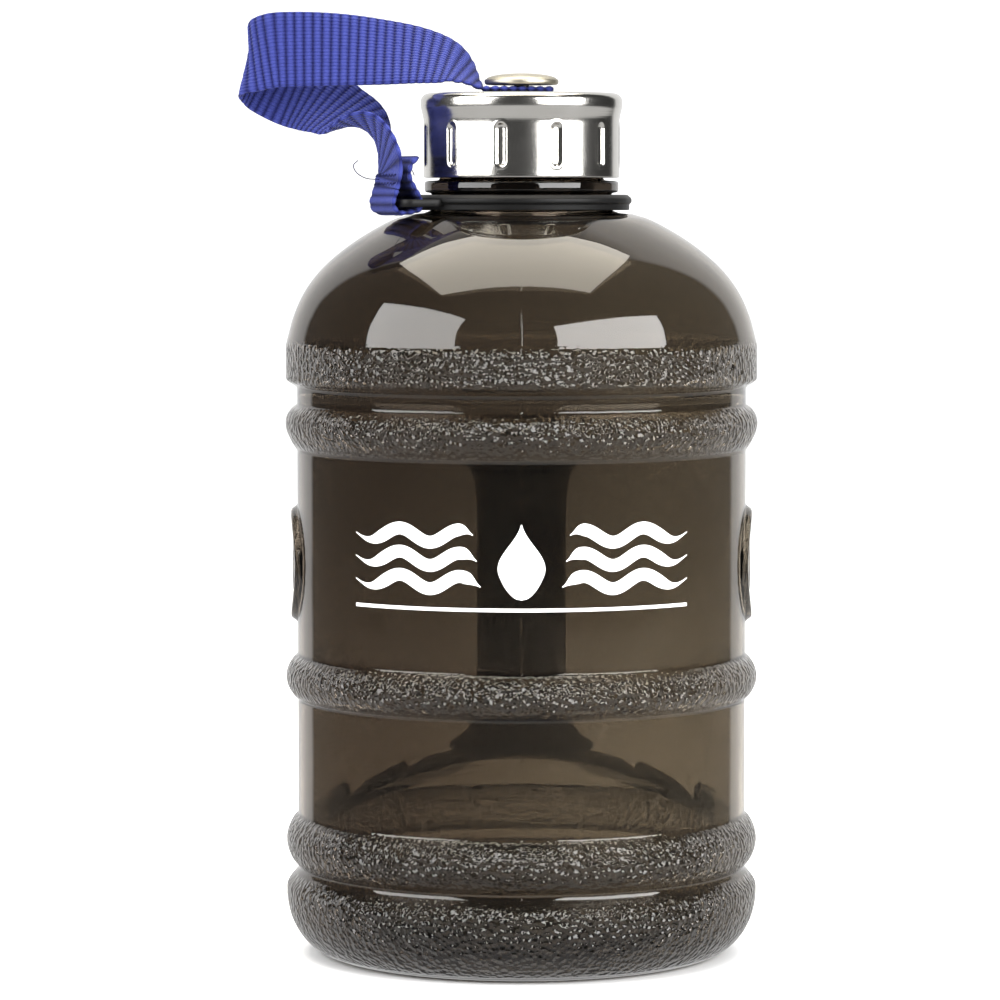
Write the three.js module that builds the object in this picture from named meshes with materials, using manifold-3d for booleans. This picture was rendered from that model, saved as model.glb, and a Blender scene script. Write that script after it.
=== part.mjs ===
// A large water jug: blow-moulded bottle with a moulded-in handle, screw cap and webbing carry strap.
// Millimetres, +Z up. The jug's axis is the Z axis and it stands on z = 0. The handle is at +Y,
// the carry strap hangs out towards -X.

import * as THREE from 'three';
import { mergeVertices } from 'three/addons/utils/BufferGeometryUtils.js';
import Module from 'manifold-3d';

const wasm = await Module();
wasm.setup();

// Facets round every turned piece, and how finely the bottle's outside and inside outlines are stepped.
const SIDES = 36;
const OUTSIDE_STEPS = { foot: 5, rib: 4, shoulder: 8 };
const INSIDE_STEPS = { foot: 3, rib: 3, shoulder: 5 };
const UP = new THREE.Vector3(0, 0, 1);

// Bottle.
const WALL = 1.5;
const WAIST_RADIUS = 60.3;
const RIB_RADIUS = 63.4;
const FOOT_FLAT_INNER = 46.5;
const FOOT_FLAT_OUTER = 50;
const FOOT_CORNER_HEIGHT = 17;
const BASE_RECESS = 1;
const BASE_PANEL_RADIUS = 44;
const GROOVE_HEIGHT = 23.4;
const LOWER_RIB = { low: 24, high: 37.5 };
const MIDDLE_RIB = { low: 69, high: 80.5 };
const UPPER_RIB = { low: 135.5, high: 147.8 };
const BAND = { low: 152.2, high: 164 };
const SHOULDER_TOP = 199.2;
const ROUNDEL = { radius: 16, proud: 1.8, height: 105 };

// Handle recess and handle.
const RECESS = { low: 50, high: 133, front: 15, corner: 15, sweepBack: 9, dropAtSides: 10 };
const RECESS_REACH = 52;
const HANDLE = { halfWidth: 12.5, inner: 41, outer: 66, corner: 7, flare: 0.45 };
const HANDLE_OVERRUN = 12;

// Neck finish and thread.
const NECK_RADIUS = 24;
const BORE_RADIUS = 19.6;
const BEAD = { radius: 26, low: 204.3, high: 207.8 };
const FINISH_RADIUS = 21.9;
const LIP_TOP = 226.3;
const THREAD_LEAD = 6;
const THREAD_DEPTH = 1.4;
const THREAD_ROOT_WIDTH = 2.6;
const THREAD_CREST_WIDTH = 1.4;
const NECK_THREAD = { start: 213.3, turns: 1.4 };
const LINER_THREAD = { start: 210.3, turns: 1.6 };

// Cap.
const CAP = { radius: 26.2, beadRadius: 27, low: 208.4, top: 231, sheet: 0.7 };
const SLOT = { count: 11, width: 2.9, low: 211.3, high: 222.8, depth: 0.4, firstAngle: -102 };
const LINER = { outer: 25.2, inner: 23.8, low: 208.8, plateLow: 227.9, top: 229.6 };
const PIVOT_HOLE_RADIUS = 2.5;
const GASKET = { inner: 19.8, outer: 23.4, low: 226.6, high: 227.6 };
const RIVET = { shank: 2, head: 9.9, headLow: 233.3, headEdge: 235.1, headTop: 236, tail: 4, tailLow: 224.6 };
const WASHER = { inner: 2.4, outer: 6, low: 226.4, high: 227.5 };

// Neck ring, which carries the strap's lower end.
const RING = { inner: 24.5, outer: 28.9, flange: 29.5, low: 199.8, high: 203.9 };
const TAB = { reach: 37.6, halfWidth: 12.8, root: 23, low: 200.7, high: 202.7, corner: 3 };
const TAB_SLOT = { near: 29.9, far: 33.1, halfLength: 10.9 };
const TAB_ANGLE = THREE.MathUtils.degToRad(20);

// Strap webbing.
const WEB_THICKNESS = 1.5;
const WEB_HALF_WIDTH = 10;
// Half the gap between the two pieces of webbing, as a share of the spacing between stations.
const WEB_JOIN_GAP = 0.03;

// ---------------------------------------------------------------- shared shape helpers

function turned(points) {
  const profile = points.map(([radius, height]) => new THREE.Vector2(radius, height));
  return new THREE.LatheGeometry(profile, SIDES).rotateX(Math.PI / 2);
}

function ring(inner, outer, low, high) {
  return turned([[inner, low], [outer, low], [outer, high], [inner, high], [inner, low]]);
}

function drum(radius, low, high) {
  return turned([[0, low], [radius, low], [radius, high], [0, high]]);
}

function solid(geometry) {
  const bare = geometry.clone();
  bare.deleteAttribute('normal');
  bare.deleteAttribute('uv');
  const merged = mergeVertices(bare, 1e-4);
  const corners = merged.index.array;
  const kept = [];
  for (let i = 0; i < corners.length; i += 3) {
    const [a, b, c] = [corners[i], corners[i + 1], corners[i + 2]];
    if (a !== b && b !== c && c !== a) kept.push(a, b, c);
  }
  const vertProperties = merged.attributes.position.array;
  return new wasm.Manifold(new wasm.Mesh({ numProp: 3, vertProperties, triVerts: new Uint32Array(kept) }));
}

function geometryOf(body) {
  const { vertProperties, triVerts } = body.getMesh();
  const geometry = new THREE.BufferGeometry();
  geometry.setAttribute('position', new THREE.BufferAttribute(vertProperties, 3));
  geometry.setIndex(new THREE.BufferAttribute(triVerts, 1));
  geometry.computeVertexNormals();
  return geometry;
}

function eachVertex(geometry, move) {
  const position = geometry.attributes.position;
  const point = new THREE.Vector3();
  for (let i = 0; i < position.count; i += 1) {
    point.fromBufferAttribute(position, i);
    move(point);
    position.setXYZ(i, point.x, point.y, point.z);
  }
  return geometry;
}

function roundedRectangle(left, right, bottom, top, corner) {
  const shape = new THREE.Shape();
  shape.moveTo(left + corner, bottom);
  shape.lineTo(right - corner, bottom);
  shape.absarc(right - corner, bottom + corner, corner, -Math.PI / 2, 0);
  shape.lineTo(right, top - corner);
  shape.absarc(right - corner, top - corner, corner, 0, Math.PI / 2);
  shape.lineTo(left + corner, top);
  shape.absarc(left + corner, top - corner, corner, Math.PI / 2, Math.PI);
  shape.lineTo(left, bottom + corner);
  shape.absarc(left + corner, bottom + corner, corner, Math.PI, Math.PI * 1.5);
  return shape;
}

function extruded(shape, depth, steps = 1, curveSegments = 6) {
  return new THREE.ExtrudeGeometry(shape, { depth, steps, curveSegments, bevelEnabled: false });
}

// A thread ridge: a trapezoid bar bent into a right-hand helix. `side` is +1 for a ridge that grows
// outwards from its wall and -1 for one that grows inwards.
function threadRidge(wallRadius, side, start, turns) {
  const sunk = 0.3;
  const root = THREAD_ROOT_WIDTH / 2;
  const crest = THREAD_CREST_WIDTH / 2;
  const section = new THREE.Shape([
    new THREE.Vector2(-side * sunk, -root),
    new THREE.Vector2(side * THREAD_DEPTH, -crest),
    new THREE.Vector2(side * THREAD_DEPTH, crest),
    new THREE.Vector2(-side * sunk, root),
  ]);
  const steps = Math.round(28 * turns);
  return eachVertex(extruded(section, 1, steps), (point) => {
    const angle = point.z * turns * 2 * Math.PI;
    const radius = wallRadius + point.x;
    const height = start - point.y + (THREAD_LEAD * angle) / (2 * Math.PI);
    point.set(radius * Math.cos(angle), radius * Math.sin(angle), height);
  });
}

// ---------------------------------------------------------------- bottle

function ribOutline({ low, high }, steps, lean) {
  const points = [];
  for (let i = 0; i <= steps; i += 1) {
    const t = i / steps;
    const bulge = Math.sin(Math.PI * t ** lean) ** 0.7;
    const height = low + (high - low) * t;
    points.push([WAIST_RADIUS + (RIB_RADIUS - WAIST_RADIUS) * bulge, height]);
  }
  return points;
}

function footOutline(steps) {
  const points = [];
  for (let i = 0; i <= steps; i += 1) {
    const angle = (i / steps) * (Math.PI / 2);
    const radius = FOOT_FLAT_OUTER + (RIB_RADIUS - FOOT_FLAT_OUTER) * Math.sin(angle);
    points.push([radius, FOOT_CORNER_HEIGHT * (1 - Math.cos(angle))]);
  }
  return points;
}

function shoulderOutline(steps) {
  const through = [[63.2, 164], [61, 172], [57.6, 179], [52.3, 185.4], [44.5, 191.6], [35.5, 196.8], [30, 198.7]];
  const curve = new THREE.SplineCurve(through.map(([radius, height]) => new THREE.Vector2(radius, height)));
  return curve.getPoints(steps).map((point) => [point.x, point.y]);
}

// The outside of the moulding from the base panel to the top of the shoulder.
function bodyOutline(steps) {
  return [
    [0, BASE_RECESS],
    [BASE_PANEL_RADIUS, BASE_RECESS],
    [FOOT_FLAT_INNER, 0],
    ...footOutline(steps.foot),
    [WAIST_RADIUS, GROOVE_HEIGHT],
    ...ribOutline(LOWER_RIB, steps.rib, 1),
    ...ribOutline(MIDDLE_RIB, steps.rib, 1),
    ...ribOutline(UPPER_RIB, steps.rib, 1.35),
    [WAIST_RADIUS, BAND.low],
    [63.2, BAND.low + 4],
    ...shoulderOutline(steps.shoulder),
  ];
}

function outsideOfBottle() {
  return solid(turned([
    ...bodyOutline(OUTSIDE_STEPS),
    [NECK_RADIUS + 1, SHOULDER_TOP],
    [NECK_RADIUS, SHOULDER_TOP + 0.4],
    [NECK_RADIUS, BEAD.low],
    [BEAD.radius, BEAD.low + 0.4],
    [BEAD.radius, BEAD.high - 0.4],
    [FINISH_RADIUS, BEAD.high],
    [FINISH_RADIUS, LIP_TOP - 0.5],
    [FINISH_RADIUS - 0.5, LIP_TOP],
    [0, LIP_TOP],
  ]));
}

// The hollow inside: the same outline set in by one wall, carried up through the neck's bore.
function hollowOfBottle() {
  const inset = bodyOutline(INSIDE_STEPS).map(([radius, height], index) => {
    const raise = height < FOOT_CORNER_HEIGHT ? WALL * (1 - height / FOOT_CORNER_HEIGHT) : 0;
    const lower = height > BAND.high ? WALL * ((height - BAND.high) / (SHOULDER_TOP - BAND.high)) : 0;
    return [index === 0 ? 0 : radius - WALL, height + raise - lower];
  });
  return solid(turned([...inset, [BORE_RADIUS, SHOULDER_TOP - WALL], [BORE_RADIUS, LIP_TOP + 2], [0, LIP_TOP + 2]]));
}

// A scoop across the back of the bottle, grown by `grow` on every side. Its front wall sweeps back
// and its lower ledge drops towards both sides.
function recess(grow) {
  const low = RECESS.low - grow;
  const high = RECESS.high + grow;
  const outline = roundedRectangle(RECESS.front - grow, 140, low, high, RECESS.corner + grow);
  const halfLength = 70;
  const block = extruded(outline, 2 * halfLength, 10, 4);
  return solid(eachVertex(block, (point) => {
    const across = point.z - halfLength;
    const share = (across / RECESS_REACH) ** 2;
    const nearLedge = THREE.MathUtils.clamp((RECESS.low + 30 - point.y) / 30, 0, 1);
    point.set(across, point.x + RECESS.sweepBack * share, point.y - RECESS.dropAtSides * share * nearLedge);
  }));
}

// The upright bar of the handle, shrunk by `shrink` on every side and flared where it meets the body.
function handleBar(shrink) {
  const half = HANDLE.halfWidth - shrink;
  const outline = roundedRectangle(-half, half, HANDLE.inner + shrink, HANDLE.outer, HANDLE.corner - shrink);
  const low = RECESS.low - HANDLE_OVERRUN;
  const height = RECESS.high - RECESS.low + 2 * HANDLE_OVERRUN;
  const middle = low + height / 2;
  const bar = extruded(outline, height, 12, 2).translate(0, 0, low);
  return solid(eachVertex(bar, (point) => {
    const reach = Math.abs(point.z - middle) / (height / 2 - HANDLE_OVERRUN);
    const grown = 1 + HANDLE.flare * Math.min(reach, 1.15) ** 8;
    point.x *= grown;
    point.y = HANDLE.outer - (HANDLE.outer - point.y) * grown;
  }));
}

function roundel(direction) {
  const plug = new THREE.CylinderGeometry(ROUNDEL.radius, ROUNDEL.radius, 20, 20).rotateZ(Math.PI / 2);
  plug.translate(direction * WAIST_RADIUS, 0, ROUNDEL.height);
  const low = ROUNDEL.height - ROUNDEL.radius - 1;
  const high = ROUNDEL.height + ROUNDEL.radius + 1;
  return solid(plug).intersect(solid(drum(WAIST_RADIUS + ROUNDEL.proud, low, high)));
}

function bottleBody() {
  const scoop = recess(0).subtract(handleBar(0));
  const innerScoop = recess(WALL).subtract(handleBar(WALL));
  const hollow = hollowOfBottle().subtract(innerScoop);
  const ridge = solid(threadRidge(FINISH_RADIUS, 1, NECK_THREAD.start, NECK_THREAD.turns));
  const outside = outsideOfBottle().add(roundel(1)).add(roundel(-1)).subtract(scoop).add(ridge);
  return geometryOf(outside.subtract(hollow));
}

// ---------------------------------------------------------------- cap

function capSlots() {
  const outline = new THREE.Shape();
  const radius = SLOT.width / 2;
  outline.absarc(0, SLOT.low + radius, radius, Math.PI, 2 * Math.PI);
  outline.absarc(0, SLOT.high - radius, radius, 0, Math.PI);
  const slots = [];
  for (let i = 0; i < SLOT.count; i += 1) {
    const angle = THREE.MathUtils.degToRad(SLOT.firstAngle) + (i * 2 * Math.PI) / SLOT.count;
    const slot = extruded(outline, 2, 1, 3).rotateX(Math.PI / 2).rotateZ(Math.PI / 2);
    slot.translate(CAP.radius - SLOT.depth, 0, 0).rotateZ(angle);
    slots.push(solid(slot));
  }
  return slots;
}

function capShell() {
  const inside = CAP.radius - CAP.sheet;
  const under = CAP.top - CAP.sheet;
  let shell = solid(turned([
    [inside, CAP.low],
    [CAP.radius, CAP.low],
    [CAP.radius, 225.2],
    [CAP.beadRadius, 226.8],
    [CAP.beadRadius, 228.4],
    [CAP.beadRadius - 0.6, 229.8],
    [CAP.beadRadius - 1.7, 230.7],
    [CAP.beadRadius - 3.2, CAP.top],
    [PIVOT_HOLE_RADIUS, CAP.top],
    [PIVOT_HOLE_RADIUS, under],
    [inside - 1.9, under],
    [inside, under - 1.5],
    [inside, CAP.low],
  ]));
  for (const slot of capSlots()) shell = shell.subtract(slot);
  return geometryOf(shell);
}

function capLiner() {
  const cup = solid(turned([
    [PIVOT_HOLE_RADIUS, LINER.plateLow],
    [LINER.inner, LINER.plateLow],
    [LINER.inner, LINER.low],
    [LINER.outer, LINER.low],
    [LINER.outer, LINER.plateLow],
    [LINER.outer - 1.6, LINER.top],
    [PIVOT_HOLE_RADIUS, LINER.top],
    [PIVOT_HOLE_RADIUS, LINER.plateLow],
  ]));
  return geometryOf(cup.add(solid(threadRidge(LINER.inner, -1, LINER_THREAD.start, LINER_THREAD.turns))));
}

function rivet() {
  return turned([
    [0, RIVET.tailLow],
    [RIVET.tail - 0.8, RIVET.tailLow],
    [RIVET.tail, RIVET.tailLow + 0.7],
    [RIVET.tail, RIVET.tailLow + 1.4],
    [RIVET.shank, RIVET.tailLow + 1.5],
    [RIVET.shank, RIVET.headLow],
    [RIVET.head - 0.3, RIVET.headLow],
    [RIVET.head, RIVET.headLow + 0.3],
    [RIVET.head, RIVET.headEdge - 0.3],
    [RIVET.head - 0.6, RIVET.headEdge + 0.1],
    [RIVET.head * 0.6, RIVET.headTop - 0.3],
    [0, RIVET.headTop],
  ]);
}

// ---------------------------------------------------------------- neck ring

function neckRing() {
  const band = solid(turned([
    [RING.inner, RING.low],
    [RING.outer, RING.low],
    [RING.outer, RING.high - 2.4],
    [RING.flange, RING.high - 2],
    [RING.flange, RING.high - 1],
    [RING.outer - 1, RING.high],
    [RING.inner, RING.high],
    [RING.inner, RING.low],
  ]));
  const outline = roundedRectangle(-TAB.reach, -TAB.root, -TAB.halfWidth, TAB.halfWidth, TAB.corner);
  const { near, far, halfLength } = TAB_SLOT;
  outline.holes.push(roundedRectangle(-far, -near, -halfLength, halfLength, 0.8));
  const tab = solid(extruded(outline, TAB.high - TAB.low).translate(0, 0, TAB.low));
  const bore = solid(drum(RING.inner, RING.low - 1, RING.high + 1));
  return geometryOf(band.add(tab).subtract(bore)).rotateZ(TAB_ANGLE);
}

// ---------------------------------------------------------------- strap

// Each station is a point on the webbing's centre line and the direction from its front edge to its
// rear edge there. A station written with `tab` is measured from the axis along the ring's tab.
function station([x, y, z], [acrossX, acrossY, acrossZ]) {
  return { centre: new THREE.Vector3(x, y, z), across: new THREE.Vector3(acrossX, acrossY, acrossZ) };
}

function tabStation(distance, height) {
  const centre = new THREE.Vector3(-distance, 0, height).applyAxisAngle(UP, TAB_ANGLE);
  return { centre, across: new THREE.Vector3(0, 1, 0).applyAxisAngle(UP, TAB_ANGLE) };
}

const WEBBING_ROUTE = [
  station([8.6, 0, 232.05], [0, 1, 0]),
  station([0, 0, 232.05], [0, 1, 0]),
  station([-7, 0, 232.05], [0, 1, 0]),
  station([-10.4, 0, 232.2], [0, 1, 0.01]),
  station([-15, 0, 236.4], [0, 0.9, 0.42]),
  station([-19.5, 0, 239.2], [0, 0.79, 0.61]),
  station([-27.5, 0, 241.1], [0, 0.65, 0.76]),
  station([-38, -0.4, 242], [0, 0.47, 0.88]),
  station([-49, -1, 242.6], [0, 0.27, 0.96]),
  station([-60, -1.6, 242.7], [0, 0.1, 1]),
  station([-67.5, -1.2, 242.2], [0.1, 0.05, 1]),
  station([-73, 3.6, 239.9], [0.19, 0, 0.98]),
  station([-70.5, 10, 236.6], [0.1, 0.05, 0.99]),
  station([-64, 11.6, 233], [-0.1, 0.12, 0.98]),
  station([-56.5, 9, 228.8], [-0.12, 0.35, 0.93]),
  station([-49, 4, 224.8], [-0.16, 0.8, 0.55]),
  station([-42, -3, 221], [-0.27, 0.93, 0.25]),
  station([-37.5, -8.8, 216.8], [-0.33, 0.94, 0.06]),
  tabStation(37.3, 211),
  tabStation(38.2, 205.5),
  tabStation(39.3, 201.6),
  tabStation(37.8, 199.3),
  tabStation(34.5, 199.4),
  tabStation(31.9, 200),
  tabStation(31.6, 202.4),
  tabStation(32.9, 205),
  tabStation(34.7, 208.4),
  tabStation(34.4, 211.6),
  tabStation(32.4, 213.8),
];

// The upper piece, which lifts with the cap, ends at this station; the lower piece carries on from it.
const JOIN_STATION = 9;

// The stretch of webbing between two shares, from 0 to 1, of the route.
function webbing(from, to, steps) {
  const centres = new THREE.CatmullRomCurve3(WEBBING_ROUTE.map((each) => each.centre));
  const acrosses = new THREE.CatmullRomCurve3(WEBBING_ROUTE.map((each) => each.across));
  const half = WEB_THICKNESS / 2;
  const lanes = [-WEB_HALF_WIDTH, 0, WEB_HALF_WIDTH];
  const underside = lanes.map((lane) => new THREE.Vector2(lane, -half));
  const topside = lanes.toReversed().map((lane) => new THREE.Vector2(lane, half));
  const strip = extruded(new THREE.Shape([...underside, ...topside]), 1, steps);
  const tangent = new THREE.Vector3();
  const normal = new THREE.Vector3();
  return eachVertex(strip, (point) => {
    const along = from + point.z * (to - from);
    const { x: sideways, y: outwards } = point;
    centres.getTangent(along, tangent);
    const across = acrosses.getPoint(along);
    across.addScaledVector(tangent, -across.dot(tangent)).normalize();
    normal.crossVectors(tangent, across);
    centres.getPoint(along, point).addScaledVector(across, sideways).addScaledVector(normal, outwards);
  });
}

function strapUpper() {
  const hole = drum(PIVOT_HOLE_RADIUS, CAP.top, RIVET.headLow);
  const end = drum(RIVET.head - 0.4, CAP.top, RIVET.headLow);
  const cutEnd = solid(new THREE.BoxGeometry(12, 24, 4).translate(6, 0, 232)).subtract(solid(end));
  const run = webbing(0, (JOIN_STATION - WEB_JOIN_GAP) / (WEBBING_ROUTE.length - 1), 30);
  return geometryOf(solid(run).subtract(solid(hole)).subtract(cutEnd));
}

function strapLower() {
  return webbing((JOIN_STATION + WEB_JOIN_GAP) / (WEBBING_ROUTE.length - 1), 1, 66);
}

// ---------------------------------------------------------------- materials and assembly

function finish(color, roughness, metalness = 0) {
  return new THREE.MeshStandardMaterial({ color, roughness, metalness });
}

const SMOKE = finish(0x3a322a, 0.12);
const STEEL = finish(0xbdbbb6, 0.3, 1);
const RIVET_METAL = finish(0xa39e8e, 0.28, 1);
const BLACK_PLASTIC = finish(0x161615, 0.4);
const SEAL_RUBBER = finish(0xc9c6bf, 0.7);
const BLUE_WEBBING = finish(0x4a54a1, 0.85);

const jug = new THREE.Group();

function place(name, geometry, material) {
  const mesh = new THREE.Mesh(geometry, material);
  mesh.name = name;
  jug.add(mesh);
}

place('bottle_body', bottleBody(), SMOKE);
place('cap_shell', capShell(), STEEL);
place('cap_liner', capLiner(), BLACK_PLASTIC);
place('cap_gasket', ring(GASKET.inner, GASKET.outer, GASKET.low, GASKET.high), SEAL_RUBBER);
place('rivet', rivet(), RIVET_METAL);
place('rivet_washer', ring(WASHER.inner, WASHER.outer, WASHER.low, WASHER.high), STEEL);
place('neck_ring', neckRing(), BLACK_PLASTIC);
place('strap_upper', strapUpper(), BLUE_WEBBING);
place('strap_lower', strapLower(), BLUE_WEBBING);

export default jug;
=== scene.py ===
"""Looks for a large water jug: smoke-tinted bottle, steel screw cap, neck ring and webbing strap.

Dimensions are in millimetres and the scene in metres, with +Z up and the camera's side at -Y."""

import math

import bpy
import numpy as np
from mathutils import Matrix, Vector


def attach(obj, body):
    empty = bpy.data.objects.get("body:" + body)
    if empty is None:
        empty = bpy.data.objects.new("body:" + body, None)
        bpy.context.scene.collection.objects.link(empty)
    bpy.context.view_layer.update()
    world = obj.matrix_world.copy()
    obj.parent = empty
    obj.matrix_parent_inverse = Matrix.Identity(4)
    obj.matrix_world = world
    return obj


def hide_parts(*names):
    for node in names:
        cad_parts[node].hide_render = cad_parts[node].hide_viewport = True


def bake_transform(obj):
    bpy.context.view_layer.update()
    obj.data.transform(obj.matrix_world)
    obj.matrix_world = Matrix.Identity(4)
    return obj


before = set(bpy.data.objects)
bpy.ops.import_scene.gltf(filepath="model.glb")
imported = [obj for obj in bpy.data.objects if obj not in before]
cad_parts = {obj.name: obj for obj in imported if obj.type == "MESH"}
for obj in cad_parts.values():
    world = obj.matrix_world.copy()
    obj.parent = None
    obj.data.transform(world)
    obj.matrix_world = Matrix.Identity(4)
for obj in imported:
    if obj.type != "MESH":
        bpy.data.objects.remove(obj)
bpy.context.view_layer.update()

MM = 0.001
SEED = 7

# ------------------------------------------------------------------ dimensions, in millimetres

WALL = 1.5
WAIST = 60.3
CREST = 63.4
FOOT_FLAT = 50.0
FOOT_TOP = 17.0
LOWER_RIB = (24.0, 37.5, 1.0)
MIDDLE_RIB = (69.0, 80.5, 1.0)
UPPER_RIB = (135.5, 147.8, 1.35)
BAND_LOW = 152.2
BAND_HIGH = 164.0
BAND_PROUD = 2.9
FOOT_FADE = (18.0, 23.6)
PEBBLED_ZONES = [(24, 37.6), (69, 80.5), (136, 147.6), (153, 164.5)]
PRINTED_ZONE = (96.0, 122.0)
SHOULDER = [(63.2, 164), (61, 172), (57.6, 179), (52.3, 185.4), (44.5, 191.6), (35.5, 196.8), (30, 198.7)]
SHOULDER_TOP = 199.2
NECK_RADIUS = 24.0
BORE_RADIUS = 19.6
BEAD = (26.0, 204.3, 207.8)
FINISH_RADIUS = 21.9
LIP_TOP = 226.3
THREAD_LEAD = 6.0
THREAD_DEPTH = 1.4
THREAD_START = 213.3
THREAD_TURNS = 1.4

RECESS_LOW = 50.0
RECESS_HIGH = 133.0
RECESS_FRONT = 15.0
RECESS_SWEEP = 9.0
RECESS_REACH = 52.0
RECESS_DROP = 10.0
RECESS_CORNER = 14.0
RECESS_LIP = 3.0
LEDGE_FALL = 4.0
NOTCH_LOW = 37.5
NOTCH_HIGH = 135.5

HANDLE_HALF_WIDTH = 12.5
HANDLE_INNER = 41.0
HANDLE_OUTER = 60.5
HANDLE_MIDDLE = (HANDLE_INNER + HANDLE_OUTER) / 2
HANDLE_CORNER = 7.0
HANDLE_FLARE = 0.5

ROUNDEL_RADIUS = 16.0
ROUNDEL_PROUD = 1.7
ROUNDEL_HEIGHT = 105.0

CAP_RADIUS = 26.2
CAP_BEAD = 27.0
CAP_LOW = 208.4
CAP_TOP = 231.0
CAP_SHEET = 0.7
SLOT_COUNT = 11
SLOT_FIRST = math.radians(-102)
SLOT_LOW = 211.3
SLOT_HIGH = 222.8
SLOT_HALF_WIDTH = 1.45

PRINT_HALF_WIDTH = 43.0
WAVE_HEIGHT = 1.7
WAVE_LENGTH = 15.5

WEB_HALF_WIDTH = 10.0
WEB_HALF_THICKNESS = 0.75
WEB_RIB_PITCH = 2.4
YARN_PITCH = 0.95
TAB_ANGLE = math.radians(20)


# ------------------------------------------------------------------ small maths helpers

def smooth(low, high, value):
    """0 below low, 1 above high, an S-curve between."""
    share = np.clip((value - low) / (high - low), 0, 1)
    return share * share * (3 - 2 * share)


def soft_least(a, b, blend):
    """The smaller of a and b, rounded over where they are within blend of each other."""
    share = np.clip(0.5 + 0.5 * (b - a) / blend, 0, 1)
    return b + (a - b) * share - blend * share * (1 - share)


def catmull(points, count):
    """A smooth curve through points, sampled evenly between them by index."""
    given = np.array(points, float)
    padded = np.vstack([2 * given[0] - given[1], given, 2 * given[-1] - given[-2]])
    at = np.linspace(0, len(given) - 1, count)
    index = np.minimum(at.astype(int), len(given) - 2)
    t = (at - index)[:, None]
    p0, p1, p2, p3 = padded[index], padded[index + 1], padded[index + 2], padded[index + 3]
    return 0.5 * (2 * p1 + (p2 - p0) * t + (2 * p0 - 5 * p1 + 4 * p2 - p3) * t**2
                  + (3 * p1 - p0 - 3 * p2 + p3) * t**3)


# ------------------------------------------------------------------ mesh helpers

def add_mesh(name, verts, faces, material, crease=None):
    """A smooth-shaded object from vertices in millimetres."""
    data = bpy.data.meshes.new(name)
    data.from_pydata([tuple(v) for v in np.asarray(verts) * MM], [], faces)
    data.update()
    data.shade_smooth()
    if crease is not None:
        data.set_sharp_from_angle(angle=math.radians(crease))
    made = bpy.data.objects.new(name, data)
    bpy.context.scene.collection.objects.link(made)
    data.materials.append(material)
    return made


def skin(name, grid, material, wrap_rows=False, wrap_columns=True, poles=(None, None), crease=None):
    """A quad surface over grid[row][column]. Rows that run up an outside wall and columns that run
    anticlockwise give outward faces. A pole closes the first or last row to one point."""
    rows, columns = grid.shape[:2]
    verts = list(grid.reshape(-1, 3))
    index = np.arange(rows * columns).reshape(rows, columns)
    if wrap_columns:
        index = np.hstack([index, index[:, :1]])
    if wrap_rows:
        index = np.vstack([index, index[:1]])
    a, b = index[:-1, :-1], index[:-1, 1:]
    c, d = index[1:, 1:], index[1:, :-1]
    faces = np.stack([a, b, c, d], -1).reshape(-1, 4).tolist()
    for pole, row, flip in ((poles[0], index[0], True), (poles[1], index[rows - 1], False)):
        if pole is None:
            continue
        verts.append(np.array(pole, float))
        tip = len(verts) - 1
        for left, right in zip(row[:-1].tolist(), row[1:].tolist()):
            faces.append((right, left, tip) if flip else (left, right, tip))
    return add_mesh(name, verts, faces, material, crease)


def point_attribute(made, name, values):
    """Stores one number a vertex, for a material to read."""
    attribute = made.data.attributes.new(name, "FLOAT", "POINT")
    full = np.zeros(len(made.data.vertices), np.float32)
    full[: len(values)] = values
    attribute.data.foreach_set("value", full)


def turned(profile, angles):
    """Grid of a profile of (radius, height) rows turned about the Z axis."""
    profile = np.array(profile, float)
    radius, height = profile[:, :1], profile[:, 1:]
    level = np.broadcast_to(height, (len(profile), len(angles)))
    return np.stack([radius * np.cos(angles), radius * np.sin(angles), level], -1)


def rounded(corners, radius, steps=4):
    """The corners of an open (radius, height) profile, each rounded by a short curve."""
    corners = [np.array(c[:2], float) for c in corners]
    made = [corners[0]]
    for before, corner, after in zip(corners, corners[1:], corners[2:]):
        to_before, to_after = before - corner, after - corner
        reach = min(radius, np.linalg.norm(to_before) * 0.45, np.linalg.norm(to_after) * 0.45)
        start = corner + to_before / np.linalg.norm(to_before) * reach
        end = corner + to_after / np.linalg.norm(to_after) * reach
        for t in np.linspace(0, 1, steps):
            made.append((1 - t) ** 2 * start + 2 * t * (1 - t) * corner + t**2 * end)
    made.append(corners[-1])
    return made


def even(profile, spacing):
    """Fills in a profile so that no step is longer than spacing."""
    made = [np.array(profile[0], float)]
    for start, end in zip(profile, profile[1:]):
        start, end = np.array(start, float), np.array(end, float)
        count = max(1, int(math.ceil(np.linalg.norm(end - start) / spacing)))
        made += [start + (end - start) * (i + 1) / count for i in range(count)]
    return made


def evenly_round(count, extra=()):
    """count angles round the circle, and the extra ones."""
    regular = np.arange(count) * 2 * math.pi / count
    return np.unique(np.concatenate([regular, np.array(extra) % (2 * math.pi)]))


def tube(name, path, radius, material, sides=8):
    """A round cord of thread along a path of points in millimetres."""
    path = np.array(path, float)
    forward = np.gradient(path, axis=0)
    forward /= np.linalg.norm(forward, axis=1, keepdims=True)
    side = np.cross(forward, [0.3, 0.2, 0.93])
    side /= np.linalg.norm(side, axis=1, keepdims=True)
    other = np.cross(forward, side)
    turn = np.arange(sides) * 2 * math.pi / sides
    sideways = np.cos(turn)[None, :, None] * side[:, None]
    ring = radius * (sideways + np.sin(turn)[None, :, None] * other[:, None])
    return skin(name, path[:, None] + ring, material, poles=(path[0], path[-1]))


# ------------------------------------------------------------------ material helpers

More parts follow.
